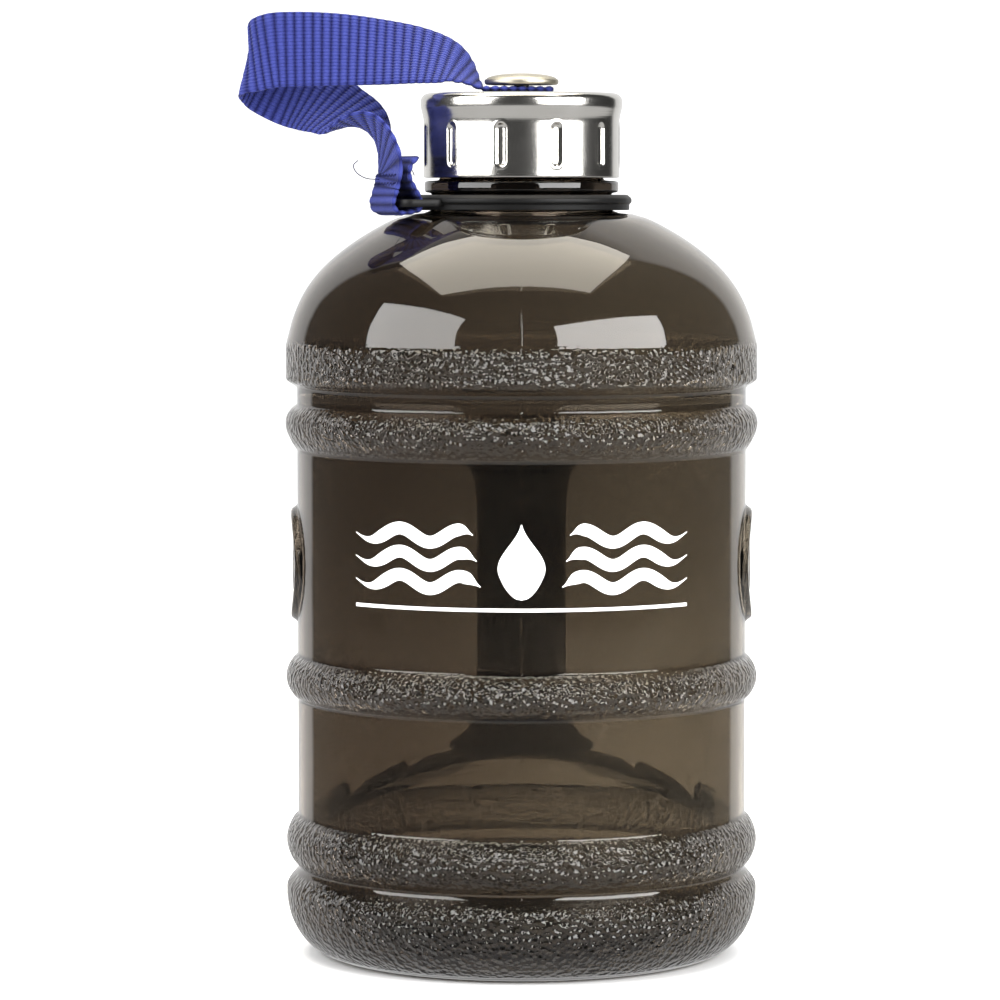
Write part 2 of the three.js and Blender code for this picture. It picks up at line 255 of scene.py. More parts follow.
class Nodes:
    """A node tree, with short names for the nodes that are made in it."""

    def __init__(self, tree):
        self.tree = tree

    def node(self, kind, inputs=None, **settings):
        """A new node. An input is given a value or linked to another node's output."""
        made = self.tree.nodes.new(kind)
        for key, value in settings.items():
            setattr(made, key, value)
        for key, value in (inputs or {}).items():
            socket = made.inputs[key]
            if isinstance(value, bpy.types.NodeSocket):
                self.tree.links.new(value, socket)
            else:
                socket.default_value = value
        return made

    def maths(self, operation, a, b=0.0):
        return self.node("ShaderNodeMath", {0: a, 1: b}, operation=operation).outputs[0]

    def share(self, value, low, high):
        """0 where value is low and 1 where it is high."""
        span = {"Value": value, "From Min": low, "From Max": high}
        return self.node("ShaderNodeMapRange", span).outputs[0]

    def mix(self, share, a, b):
        """Colour a where share is 0 and colour b where it is 1."""
        layers = {"Factor": share, "A": a, "B": b}
        return self.node("ShaderNodeMix", layers, data_type="RGBA").outputs["Result"]

    def colours(self, fac, *stops):
        """A colour ramp of (position, colour) stops."""
        ramp = self.node("ShaderNodeValToRGB", {"Fac": fac})
        elements = ramp.color_ramp.elements
        while len(elements) < len(stops):
            elements.new(0.5)
        for element, (position, colour) in zip(elements, stops):
            element.position = position
            element.color = (*colour, 1)
        return ramp.outputs["Color"]


class Finish(Nodes):
    """A new material, with short names for what its finish is made of."""

    def __init__(self, name):
        self.material = bpy.data.materials.new(name)
        self.material.use_nodes = True
        super().__init__(self.material.node_tree)
        self.shader = self.tree.nodes["Principled BSDF"]

    def set(self, **values):
        """Gives the shader values that are the same all over."""
        for key, value in values.items():
            self.shader.inputs[key.replace("_", " ")].default_value = value

    def link(self, output, key):
        self.tree.links.new(output, self.shader.inputs[key])

    def place(self, scale=(1, 1, 1)):
        coordinate = self.node("ShaderNodeTexCoord").outputs["Object"]
        return self.node("ShaderNodeMapping", {"Vector": coordinate, "Scale": scale}).outputs["Vector"]

    def noise(self, scale, detail=3.0, stretch=(1, 1, 1), roughness=0.5):
        vector = self.place(stretch)
        values = {"Vector": vector, "Scale": scale, "Detail": detail, "Roughness": roughness}
        return self.node("ShaderNodeTexNoise", values).outputs["Fac"]

    def attribute(self, name):
        return self.node("ShaderNodeAttribute", attribute_name=name).outputs["Fac"]

    def between(self, fac, low, high):
        """Maps 0..1 to low..high."""
        return self.node("ShaderNodeMapRange", {"Value": fac, "To Min": low, "To Max": high}).outputs[0]

    def bump(self, height, distance, strength=1.0, normal=None):
        values = {"Height": height, "Distance": distance, "Strength": strength}
        if normal is not None:
            values["Normal"] = normal
        return self.node("ShaderNodeBump", values).outputs["Normal"]


def bottle_plastic():
    """Smoke-tinted clear plastic, with painted light making it lighter towards +X, the right softbox's side.
    The `pebble` attribute roughens it, and the `thick` attribute darkens it: a darker tone on the pebbled
    zones and from the neck up, and painted shade on the foot."""
    m = Finish("smoke_plastic")
    m.set(Transmission_Weight=1.0, IOR=1.47)
    place = m.node("ShaderNodeTexCoord").outputs["Object"]
    across = m.node("ShaderNodeSeparateXYZ", {"Vector": place}).outputs["X"]
    # Painted light: the tint is lighter towards +X, where the right softbox falls.
    right_side_light = m.share(across, -0.045, 0.045)
    drift = m.maths("MULTIPLY", m.maths("SUBTRACT", m.noise(18, 2), 0.5), 0.5)
    tint = m.colours(m.maths("ADD", right_side_light, drift),
                     (0.1, (0.138, 0.114, 0.090)), (0.9, (0.205, 0.177, 0.139)))
    # The thick attribute darkens the tint: a darker tone on the pebbled zones and from the neck up, with
    # painted shade on the foot.
    m.link(m.mix(m.attribute("thick"), tint, (0.035, 0.027, 0.020, 1)), "Base Color")
    pebbled = m.attribute("pebble")
    cells = m.node("ShaderNodeTexVoronoi", {"Vector": place, "Scale": 700, "Smoothness": 0.3},
                   feature="SMOOTH_F1").outputs["Distance"]
    lumps = m.maths("ADD", cells, m.maths("MULTIPLY", m.noise(500, 1), 0.6))
    height = m.maths("MULTIPLY", lumps, pebbled)
    plain = m.bump(m.noise(45, 1), 0.0004, 0.25)
    m.link(m.bump(height, 0.0009, 1.0, plain), "Normal")
    m.link(m.between(pebbled, 0.02, 0.07), "Roughness")
    return m.material


def cap_steel():
    """Drawn steel: fine brushing round the skirt and soft wear marks."""
    m = Finish("cap_steel")
    m.set(Metallic=1.0)
    brushed = m.noise(60, 4, (0.6, 0.6, 60))
    smudge = m.noise(70, 3)
    m.link(m.colours(smudge, (0.3, (0.55, 0.535, 0.50)), (0.7, (0.62, 0.605, 0.575))), "Base Color")
    m.link(m.between(m.maths("MULTIPLY", brushed, smudge), 0.14, 0.30), "Roughness")
    m.link(m.bump(brushed, 0.00003, 0.5), "Normal")
    return m.material


def rivet_metal():
    """Dull, slightly warm plated metal."""
    m = Finish("rivet_metal")
    m.set(Metallic=1.0)
    smudge = m.noise(160, 4)
    m.link(m.colours(smudge, (0.3, (0.30, 0.28, 0.22)), (0.75, (0.44, 0.41, 0.34))), "Base Color")
    m.link(m.between(smudge, 0.34, 0.5), "Roughness")
    m.link(m.bump(m.noise(700, 2), 0.00006, 0.5), "Normal")
    return m.material


def black_plastic(name, base, roughness):
    """Black moulded plastic with a fine grain."""
    m = Finish(name)
    m.set(Specular_IOR_Level=0.16)
    grain = m.noise(500, 4)
    m.link(m.colours(m.noise(60, 3), (0.3, (base, base, base)), (0.8, (base * 1.6,) * 3)), "Base Color")
    m.link(m.between(grain, roughness - 0.08, roughness + 0.12), "Roughness")
    m.link(m.bump(grain, 0.0001, 0.5), "Normal")
    return m.material


def seal_rubber():
    """Pale grey matt rubber."""
    m = Finish("seal_rubber")
    grain = m.noise(400, 4)
    m.link(m.colours(grain, (0.3, (0.5, 0.49, 0.46)), (0.7, (0.62, 0.6, 0.57))), "Base Color")
    m.link(m.between(grain, 0.5, 0.75), "Roughness")
    m.link(m.bump(grain, 0.0001, 0.4), "Normal")
    return m.material


def webbing_cloth():
    """Blue webbing. The ribs are in the mesh; this adds the yarns that cross them, the fibres, and painted
    shade in the rib valleys with a painted highlight on the crests.
    """
    m = Finish("webbing_cloth")
    m.set(Sheen_Weight=0.05, Sheen_Roughness=0.4, Specular_IOR_Level=0.06)
    across = m.attribute("across")
    along = m.attribute("along")
    yarn = m.maths("SINE", m.maths("MULTIPLY", across, 2 * math.pi / YARN_PITCH))
    shift = m.maths("MULTIPLY", m.maths("FLOOR", m.maths("DIVIDE", across, YARN_PITCH)), math.pi)
    over = m.maths("SINE", m.maths("ADD", m.maths("MULTIPLY", along, 2 * math.pi / WEB_RIB_PITCH), shift))
    weave = m.maths("ADD", m.maths("MULTIPLY", yarn, 0.6), m.maths("MULTIPLY", over, 0.35))
    fibre = m.noise(1800, 3)
    # Painted shade and highlight: the rib valleys are coloured darker and the crests lighter.
    crest = m.attribute("crest")
    lit = m.between(m.maths("ADD", m.maths("MULTIPLY", crest, 0.75), m.maths("MULTIPLY", fibre, 0.4)), 0, 1)
    m.link(m.colours(lit, (0.15, (0.0045, 0.0055, 0.034)), (0.5, (0.0135, 0.017, 0.095)),
                     (0.95, (0.031, 0.040, 0.182))), "Base Color")
    m.link(m.between(fibre, 0.65, 0.9), "Roughness")
    m.link(m.bump(fibre, 0.00015, 0.5, m.bump(weave, 0.00028, 0.9)), "Normal")
    return m.material


def print_ink():
    """White screen-printing ink, a little uneven."""
    m = Finish("print_ink")
    speck = m.noise(700, 3)
    m.link(m.colours(speck, (0.2, (0.82, 0.82, 0.81)), (0.6, (0.92, 0.92, 0.915))), "Base Color")
    m.link(m.between(speck, 0.35, 0.55), "Roughness")
    m.link(m.bump(speck, 0.00005, 0.4), "Normal")
    return m.material


# ------------------------------------------------------------------ bottle

def rib_bulge(height, rib):
    """How far a rib stands out of the wall. Its third number leans the crest upwards."""
    low, high, lean = rib
    t = np.clip((height - low) / (high - low), 0, 1)
    return (CREST - WAIST) * np.sin(np.pi * t**lean) ** 0.7


def wall_radius(height):
    """Outside radius of the side wall between the foot and the shoulder."""
    radius = np.full_like(height, WAIST)
    for rib in (LOWER_RIB, MIDDLE_RIB, UPPER_RIB):
        radius = np.where((height > rib[0]) & (height < rib[1]), WAIST + rib_bulge(height, rib), radius)
    foot = WAIST + (CREST - WAIST) * (1 - smooth(*FOOT_FADE, height))
    radius = np.where(height < FOOT_FADE[1], foot, radius)
    band = WAIST + BAND_PROUD * smooth(BAND_LOW, BAND_LOW + 2.6, height)
    return np.where(height > BAND_LOW, band, radius)


def pebbling(height):
    """1 on the foot, the ribs and the band, 0 on the plain walls."""
    marks = (1 - smooth(20, 22.5, height)) * smooth(0.2, 2.0, height)
    for low, high in PEBBLED_ZONES:
        marks = np.maximum(marks, smooth(low, low + 2, height) * (1 - smooth(high - 2, high + 0.6, height)))
    return marks


def notch_rows():
    """The walk up the back of the recess as (kind, share) rows, the same for every column."""
    counts = [("below", 26), ("lip_low", 6), ("ledge_low", 22), ("corner_low", 10), ("wall", 56),
              ("corner_high", 10), ("ledge_high", 22), ("lip_high", 6), ("above", 4)]
    return [(kind, (i + 1) / count) for kind, count in counts for i in range(count)]


def recess_back(cx, cy, inset):
    """How far from the axis the back of the recess stands, in each direction round it."""
    bend = RECESS_SWEEP / RECESS_REACH**2 * cx**2
    inside = cy**2 - 4 * (RECESS_FRONT - inset) * bend
    reachable = (cy > 0.02) & (inside > 0)
    reach = 2 * (RECESS_FRONT - inset) / (cy + np.sqrt(np.maximum(inside, 0)) + 1e-9)
    return np.where(reachable, np.minimum(reach, 200), 200.0)


def recess_row(kind, t, depth, lip, corner, low, high):
    """How deep into the recess a row lies, as a length, and its height, t of the way along its kind."""
    flat = 0 * depth
    bend, rest = 1 - math.cos(t * math.pi / 2), 1 - math.sin(t * math.pi / 2)
    if kind == "below":
        return flat, NOTCH_LOW + (low - lip - NOTCH_LOW) * t
    if kind == "lip_low":
        return lip * bend, low - lip * rest
    if kind == "ledge_low":
        return lip + (depth - corner - lip) * t, low + flat
    if kind == "corner_low":
        return depth - corner * rest, low + corner * bend
    if kind == "wall":
        return None, low + corner + (high - low - 2 * corner) * t
    if kind == "corner_high":
        return depth - corner * bend, high - corner * rest
    if kind == "ledge_high":
        return depth - corner + (lip + corner - depth) * t, high + flat
    if kind == "lip_high":
        return lip * rest, high + lip * bend
    return flat, high + lip + (NOTCH_HIGH - high - lip) * t


def notch(angles, inset):
    """Radius and height of the side wall over the zone that holds the handle recess."""
    cx, cy = np.cos(angles), np.sin(angles)
    back = recess_back(cx, cy, inset)
    depth = np.maximum(WAIST - back, 0)
    here = smooth(0.5, 12, depth)
    lip = np.minimum(0.4 + (RECESS_LIP - 0.4) * smooth(13, 22, np.abs(cx) * WAIST), depth / 4 + 0.01)
    corner = np.minimum(RECESS_CORNER + inset, depth / 2 + 0.01)
    low, high = RECESS_LOW - inset, RECESS_HIGH + inset
    span = np.maximum(depth, 0.02)
    rows = notch_rows()
    radii, heights = [], []
    for number, (kind, t) in enumerate(rows):
        uniform = NOTCH_LOW + (NOTCH_HIGH - NOTCH_LOW) * (number + 1) / len(rows)
        length, level = recess_row(kind, t, depth, lip, corner, low, high)
        share = 1 if length is None else np.clip(length / span, 0, 1)
        height = uniform + (level - uniform) * here
        outside = wall_radius(height) - inset
        wall = soft_least(outside, back, 3.0)
        radius = outside + (wall - outside) * share
        sideways = radius * cx / RECESS_REACH
        near = np.clip((80 - height) / 30, 0, 1) * smooth(NOTCH_LOW, NOTCH_LOW + 9, height)
        fall = LEDGE_FALL * np.clip((radius - 26) / 34, 0, 1) * near * here
        heights.append(height - RECESS_DROP * sideways**2 * near * here - fall)
        radii.append(radius)
    return np.array(radii), np.array(heights)


def foot_profile(inset):
    """From near the centre of the base panel out and up to the start of the side wall."""
    rise = 1.0 + inset
    points = [(r, rise) for r in (8, 20, 32, 42)]
    ring = [(43.6, rise - 0.05), (45.0, rise - 0.5), (46.2, inset + 0.08), (47.5, inset), (FOOT_FLAT, inset)]
    points += [(radius - inset, level) for radius, level in ring]
    for angle in np.linspace(0, math.pi / 2, 26)[1:]:
        radius = FOOT_FLAT + (CREST - FOOT_FLAT) * math.sin(angle)
        level = FOOT_TOP * (1 - math.cos(angle)) + inset * math.cos(angle)
        points.append((radius - inset, level))
    return points


def side_rows(low, high, spacing):
    """Heights from just above low up to high."""
    count = int(round((high - low) / spacing))
    return low + (high - low) * (np.arange(count) + 1) / count


def roundel_relief(angles, height):
    """Raised ring and water drop on each side of the bottle."""
    relief = 0
    for centre in (0.0, math.pi):
        along = (np.angle(np.exp(1j * (angles - centre)))) * WAIST
        up = height - ROUNDEL_HEIGHT
        away = np.hypot(along, up)
        ring = smooth(-ROUNDEL_RADIUS, -ROUNDEL_RADIUS + 1.6, -away) * smooth(11.2, 12.6, away)
        body = np.hypot(along, up + 2.2) - 5.4
        tip_width = 5.4 * np.clip((8.6 - up) / 9.5, 0, 1) ** 1.25
        tip = np.where((up > -1.6) & (up < 8.6), np.abs(along) - tip_width, 9.0)
        drop = 1 - smooth(-0.6, 0.7, np.minimum(body, tip))
        disc = 0.45 * smooth(-ROUNDEL_RADIUS, -ROUNDEL_RADIUS + 1.6, -away)
        relief = relief + ROUNDEL_PROUD * np.maximum(np.maximum(ring, 0.75 * drop), disc)
    return relief


def neck_profile():
    """From the top of the shoulder over the bead and the finish to the inner edge of the lip."""
    corners = [(30, 198.7), (26, 199.05), (NECK_RADIUS, 199.8), (NECK_RADIUS, BEAD[1]),
               (BEAD[0], BEAD[1] + 0.3), (BEAD[0], BEAD[2] - 0.3), (FINISH_RADIUS, BEAD[2]),
               (FINISH_RADIUS, LIP_TOP), (BORE_RADIUS, LIP_TOP)]
    return even(rounded(corners, 0.7)[1:], 0.5)


def bore_profile():
    """From the inner edge of the lip down to the underside of the shoulder."""
    return even([(BORE_RADIUS, LIP_TOP - 0.4), (BORE_RADIUS, 198.5), (20.4, 197.8), (27, 197.4)], 2.0)


def wall_surface(angles, inset, spacing):
    """Blocks of (radius, height) rows from the base panel to the top of the shoulder."""
    columns = len(angles)

    def block(radius, height):
        radius = np.broadcast_to(np.reshape(radius, (-1, 1)), (len(height), columns))
        return radius, np.broadcast_to(np.reshape(height, (-1, 1)), radius.shape)

    foot = np.array(foot_profile(inset))
    low = side_rows(FOOT_TOP, NOTCH_LOW, spacing)
    high = side_rows(NOTCH_HIGH, BAND_HIGH, spacing)
    shoulder = catmull(SHOULDER, int(70 * 0.6 / spacing))[1:]
    upper = smooth(BAND_HIGH, SHOULDER_TOP, shoulder[:, 1])
    return [block(foot[:, 0], foot[:, 1]), block(wall_radius(low) - inset, low), notch(angles, inset),
            block(wall_radius(high) - inset, high),
            block(shoulder[:, 0] - inset * (1 - 0.3 * upper), shoulder[:, 1] - inset * upper)]


def turned_block(profile, columns):
    """A block of (radius, height) rows that are the same all round."""
    radius, height = np.array(profile, float).T
    return np.tile(radius[:, None], columns), np.tile(height[:, None], columns)


def thread_relief(turn, height):
    """The external screw thread on the finish, as two laps of one helix that end part way round."""
    ridge = 0
    for lap in range(2):
        turns = turn / (2 * math.pi) + lap
        reach = smooth(0, 0.03, turns) * (1 - smooth(THREAD_TURNS - 0.03, THREAD_TURNS, turns))
        off = np.abs(height - THREAD_START - THREAD_LEAD * turns)
        ridge = np.maximum(ridge, (1 - smooth(0.5, 1.3, off)) * reach)
    return THREAD_DEPTH * ridge


def seam_relief(angles, height, flecks):
    """The mould's parting line at the front and back, uneven in height and smoothed under the print."""
    line = np.exp(-((np.abs(np.cos(angles)) * WAIST / 0.14) ** 2))[None, :]
    low, high = PRINTED_ZONE
    printed = smooth(low - 1, low + 1, height) * (1 - smooth(high - 1, high + 1, height))
    return 0.09 * flecks * line * (1 - printed * (np.sin(angles)[None, :] < 0))


def bottle_body(material):
    """The moulding without its handle: outside from the base up to the lip, then the inside back down."""
    seams = [side + offset for side in (math.pi / 2, -math.pi / 2)
             for offset in (-0.006, -0.0035, -0.0015, 0.0015, 0.0035, 0.006)]
    angles = evenly_round(360, seams)
    columns = len(angles)
    turn = angles[None, :]
    outer = wall_surface(angles, 0.0, 0.6) + [turned_block(neck_profile(), columns)]
    lining = [(radius[::-1], height[::-1]) for radius, height in reversed(wall_surface(angles, WALL, 1.5))]
    blocks = outer + [turned_block(bore_profile(), columns)] + lining
    radius = np.vstack([radius for radius, _ in blocks])
    height = np.vstack([height for _, height in blocks])
    outside = np.arange(len(radius))[:, None] < sum(len(radius) for radius, _ in outer)

    rng = np.random.default_rng(SEED)
    rough = pebbling(height) * outside * (radius > 55 * (height < 165))
    flecks = 0.5 + 0.5 * np.abs(rng.normal(size=(len(radius), 1)))
    radius = radius + seam_relief(angles, height, flecks) * outside * (radius > 48) * (height > 1)
    radius = radius + roundel_relief(turn, height) * outside * (radius > WAIST - 2)
    on_finish = np.abs(radius - FINISH_RADIUS) < 0.3
    radius = radius + thread_relief(turn, height) * outside * on_finish
    radius = radius + rng.normal(0, 0.012, radius.shape) * rough

    grid = np.stack([radius * np.cos(turn), radius * np.sin(turn), height], -1)
    made = skin("bottle", grid, material, poles=((0, 0, 1.0), (0, 0, 1.0 + WALL)))
    point_attribute(made, "pebble", rough.reshape(-1))
    # Darker tone on the pebbled zones, deepened towards the bottom of the foot as painted shade; darker
    # again from 203 mm up the neck.
    tone_and_foot_shade = 0.40 + 0.25 * (1 - smooth(6, 20, height))
    thick = np.maximum(smooth(199.5, 203, height), tone_and_foot_shade * rough)
    point_attribute(made, "thick", thick.reshape(-1))
    return made


def grip_section(shrink):
    """Outline of the grip seen from above, rounded at its corners and crowned like the bottle's wall."""
    wide, low, high = HANDLE_HALF_WIDTH - shrink, HANDLE_INNER + shrink, HANDLE_OUTER - shrink
    bend = HANDLE_CORNER - shrink
    points = []
    for side, y, start in ((1, low + bend, -90), (1, high - bend, 0),
                           (-1, high - bend, 90), (-1, low + bend, 180)):
        for degree in np.linspace(start, start + 90, 12):
            turn = math.radians(degree)
            points.append((side * (wide - bend) + bend * math.cos(turn), y + bend * math.sin(turn)))
    points = np.array(points)
    gaps = np.roll(points, -1, 0) - points
    splits = np.where(np.linalg.norm(gaps, axis=1) > 2, 8, 1)
    points = np.concatenate([point + np.outer(np.arange(split) / split, gap)
                             for point, gap, split in zip(points, gaps, splits)])
    crowned = (points[:, 1] - HANDLE_MIDDLE) / (HANDLE_OUTER - HANDLE_MIDDLE)
    points[:, 1] -= np.clip(crowned, 0, 1) * points[:, 0] ** 2 / (2 * WAIST)
    return points


def grip_wall(shrink):
    """The grip's outline stacked up between the ledges, flared at both ends, with soft finger waves."""
    outline = grip_section(shrink)
    middle = (RECESS_LOW + RECESS_HIGH) / 2
    half = (RECESS_HIGH - RECESS_LOW) / 2
    rows = []
    for level in np.linspace(-half - 0.9, half + 0.9, 150):
        reach = min(abs(level) / half, 1.02)
        grown = 1 + HANDLE_FLARE * reach**9
        fade = 1 - smooth(0.6, 0.8, abs(level) / half)
        finger = 0.35 * math.cos(level / half * math.pi * 4) * fade
        x = outline[:, 0] * grown
        y = HANDLE_OUTER - (HANDLE_OUTER - outline[:, 1]) * grown
        y = y - finger * (outline[:, 1] < HANDLE_MIDDLE)
        rows.append(np.stack([x, y, np.full(len(outline), middle + level)], -1))
    return np.array(rows)


def handle(material):
    """The hollow upright grip behind the recess."""
    outer, inner = grip_wall(0), grip_wall(1.6)
    grid = np.concatenate([outer, inner[::-1]])
    made = skin("bottle_handle", grid, material, wrap_rows=True)
    marks = np.concatenate([np.ones(outer.shape[:2]), np.zeros(inner.shape[:2])])
    point_attribute(made, "pebble", marks.reshape(-1))
    return made


# ------------------------------------------------------------------ front print

def on_wall(x, z, lift):
    """The point at (x, z) on the front wall, lifted off it."""
    radius = WAIST + lift
    return (x, -math.sqrt(radius**2 - x**2), z)


def ink_strip(name, centre_line, half_width, material):
    """A flat printed stroke that follows the front wall. centre_line holds (x, z)."""
    line = np.array(centre_line, float)
    forward = np.gradient(line, axis=0)
    forward /= np.linalg.norm(forward, axis=1, keepdims=True)
    side = np.stack([-forward[:, 1], forward[:, 0]], -1)
    width = np.broadcast_to(np.asarray(half_width, float).reshape(-1, 1), (len(line), 1))
    shares = np.linspace(1, -1, 9)
    layers = [(1, 0.02), *((share, 0.08) for share in shares), (-1, 0.02)]
    grid = [[on_wall(*p, lift) for p in line + side * width * share] for share, lift in layers]
    return skin(name, np.array(grid), material, wrap_rows=True, wrap_columns=False)


def print_wave(name, side, z, inner_end, material):
    """One wave that starts beside the drop and tapers away from it."""
    share = np.linspace(0, 1, 90)
    x = side * np.linspace(inner_end, PRINT_HALF_WIDTH, len(share))
    wave = z + WAVE_HEIGHT * np.sin((np.abs(x) - 12) * 2 * math.pi / WAVE_LENGTH)
    half_width = 0.12 + 1.5 * smooth(0, 0.12, share) * (1 - smooth(0.75, 1, share))
    left_to_right = slice(None, None, side)
    centre_line = np.stack([x, wave], -1)[left_to_right]
    return ink_strip(name, centre_line, half_width[left_to_right], material)


def front_print(material):
    """Three printed waves a side with a water drop in the middle, and a plain line below."""
    made = []
    for number, z in enumerate((116.5, 110.5, 104.5)):
        for side, word in ((-1, "left"), (1, "right")):
            made.append(print_wave(f"print_wave_{number + 1}_{word}", side, z, 12.5 - number, material))
    z = np.linspace(100.2, 119.6, 70)
    share = (z - z[0]) / (z[-1] - z[0])
    belly = np.sqrt(np.clip(np.sin(math.pi * np.clip(share * 1.35, 0, 1) / 2), 0, 1))
    width = 7.2 * belly * (1 - smooth(0.33, 1.05, share)) + 0.05
    made.append(ink_strip("print_drop", np.stack([0 * z, z], -1), width, material))
    x = np.linspace(-PRINT_HALF_WIDTH, PRINT_HALF_WIDTH, 120)
    line = np.stack([x, np.full(len(x), 97.6)], -1)
    made.append(ink_strip("print_line", line, np.full(len(x), 0.45), material))
    return made


# ------------------------------------------------------------------ cap, rivet and ring

def slot_relief(angles, height):
    """The pressed slots round the skirt, each with a slightly raised rim."""
    pitch = 2 * math.pi / SLOT_COUNT
    away = ((angles - SLOT_FIRST + pitch / 2) % pitch - pitch / 2) * CAP_RADIUS
    ends = np.clip(height, SLOT_LOW + SLOT_HALF_WIDTH, SLOT_HIGH - SLOT_HALF_WIDTH)
    reach = np.hypot(away, height - ends) - SLOT_HALF_WIDTH
    return -0.62 * (1 - smooth(-0.75, 0.15, reach)) + 0.10 * np.exp(-(((reach - 0.35) / 0.3) ** 2))


def cap_shell(material):
    """Drawn steel shell with a rolled bead at the top and a hem at the foot of the skirt."""
    angles = evenly_round(SLOT_COUNT * 40)
    under = CAP_TOP - CAP_SHEET
    inside = CAP_RADIUS - CAP_SHEET
    corners = [(CAP_RADIUS, CAP_LOW + 0.3), (CAP_RADIUS, 223.4), (CAP_RADIUS + 0.15, 224.6),
               (CAP_BEAD - 0.05, 227.1), (CAP_BEAD, 227.8), (CAP_BEAD, 229.3), (CAP_BEAD - 0.6, 230.4),
               (CAP_BEAD - 1.9, CAP_TOP), (2.5, CAP_TOP)]
    outside = even(rounded(corners, 0.9), 0.4)
    hem = [(CAP_RADIUS - 0.05, CAP_LOW + 0.1), (CAP_RADIUS - 0.35, CAP_LOW), (inside + 0.05, CAP_LOW + 0.1)]
    inner = even([(2.5, under), (inside - 1.9, under), (inside, under - 1.5), (inside, CAP_LOW + 0.4)], 1.2)
    profile = np.array([*hem[::-1], *outside, *inner])
    grid = turned(profile, angles)
    height = profile[:, 1:]
    skirt = (profile[:, :1] > CAP_RADIUS - 0.2) & (height > CAP_LOW + 0.2) & (height < 225)
    lift = np.where(skirt, slot_relief(angles, height), 0)
    grid[..., 0] += lift * np.cos(angles)
    grid[..., 1] += lift * np.sin(angles)
    return skin("cap_shell_steel", grid, material, wrap_rows=True)


def rivet_head(material):
    """Domed button, its shank and its peened tail."""
    slopes = np.linspace(0.12, math.pi / 2 - 0.02, 22)
    dome = [(9.5 * math.cos(slope), 234.6 + 1.7 * math.sin(slope)) for slope in slopes]
    corners = [(0.05, 224.6), (3.6, 224.6), (4.0, 226.0), (2.0, 226.2), (2.0, 233.2), (9.4, 233.2),
               (9.9, 233.6), (9.9, 234.5), dome[0]]
    profile = even(rounded(corners, 0.35) + dome[1:], 0.6)
    ends = ((0, 0, 224.6), (0, 0, 236.3))
    return skin("rivet_button", turned(profile, evenly_round(96)), material, poles=ends)


def rotate(points, angle):
    """The points turned about the Z axis."""
    points = np.array(points, float)
    x, y = points[..., 0].copy(), points[..., 1].copy()
    points[..., 0] = x * math.cos(angle) - y * math.sin(angle)
    points[..., 1] = x * math.sin(angle) + y * math.cos(angle)
    return points


def neck_ring(material):
    """The loose band under the bead."""
    corners = [(24.5, 200.0), (24.7, 199.8), (28.7, 199.8), (28.9, 200.0), (28.9, 201.4),
               (29.5, 201.8), (29.5, 202.9), (28.4, 203.9), (24.7, 203.9), (24.5, 203.7)]
    profile = rounded([*corners, corners[0]], 0.4)[:-1]
    return skin("neck_ring_band", turned(profile, evenly_round(160)), material, wrap_rows=True)


def neck_tab(material):
    """The flat tab with its slot, as one loop of section swept round the slot."""
    outer = rounded_loop(-37.6, -25.6, -12.8, 12.8, 3.0)
    slot = rounded_loop(-33.1, -29.9, -10.9, 10.9, 0.9)
    rows = []
    for outline, z in ((slot, 201.0), (slot, 200.9), (outer, 200.7), (outer, 201.0), (outer, 202.4),
                       (outer, 202.7), (slot, 202.6), (slot, 202.4)):
        centre = outline.mean(0)
        shrink = 0.985 if z in (200.7, 202.7) and outline is outer else 1.0
        flat = centre + (outline - centre) * shrink
        rows.append(np.column_stack([flat, np.full(len(flat), z)]))
    grid = rotate(np.array(rows), TAB_ANGLE)
    return skin("neck_ring_tab", grid, material, wrap_rows=True, crease=40)


def rounded_loop(left, right, low, high, corner, count=96):
    """A closed rounded rectangle as count points, evenly by angle about its corners."""
    points = []
    steps = count // 4
    for cx, cy, start in ((right - corner, high - corner, 0), (left + corner, high - corner, 90),
                          (left + corner, low + corner, 180), (right - corner, low + corner, 270)):
        for degree in np.linspace(start, start + 90, steps):
            turn = math.radians(degree)
            points.append((cx + corner * math.cos(turn), cy + corner * math.sin(turn)))
    return np.array(points)


# ------------------------------------------------------------------ strap

def at_tab(distance, height):
    """A station measured from the axis along the ring's tab."""
    x, y = -distance * math.cos(TAB_ANGLE), -distance * math.sin(TAB_ANGLE)
    return (x, y, height), (-math.sin(TAB_ANGLE), math.cos(TAB_ANGLE), 0)


# Points on the webbing's centre line, each with the direction from its front edge to its rear edge.
STRAP_ROUTE = [
    ((8.6, 0, 232.05), (0, 1, 0)),
    ((0, 0, 232.05), (0, 1, 0)),
    ((-7, 0, 232.05), (0, 1, 0)),
    ((-10.4, 0, 232.2), (0, 1, 0.01)),
    ((-15, 0, 236.4), (0, 0.9, 0.42)),
    ((-19.5, 0, 239.2), (0, 0.79, 0.61)),
    ((-27.5, 0, 241.1), (0, 0.65, 0.76)),
    ((-38, -0.4, 242), (0, 0.47, 0.88)),
    ((-49, -1, 242.6), (0, 0.27, 0.96)),
    ((-60, -1.6, 242.7), (0, 0.1, 1)),
    ((-67.5, -1.2, 242.2), (0.1, 0.05, 1)),
    ((-73, 3.6, 239.9), (0.19, 0, 0.98)),
    ((-70.5, 10, 236.6), (0.1, 0.05, 0.99)),
    ((-64, 11.6, 233), (-0.1, 0.12, 0.98)),
    ((-56.5, 9, 229.9), (-0.11, 0.46, 0.88)),
    ((-49, 4, 226), (-0.15, 0.76, 0.63)),
    ((-42, -3, 222.1), (-0.25, 0.91, 0.34)),
    ((-37.5, -8.8, 217.4), (-0.33, 0.94, 0.08)),
    at_tab(37.3, 211),
    at_tab(38.2, 205.5),
    at_tab(39.3, 201.6),
    at_tab(37.8, 199.3),
    at_tab(34.5, 199.4),
    at_tab(31.9, 200),
    at_tab(31.6, 202.4),
    at_tab(32.9, 205),
    at_tab(34.7, 208.4),
    at_tab(34.4, 211.6),
    at_tab(32.4, 213.8),
]


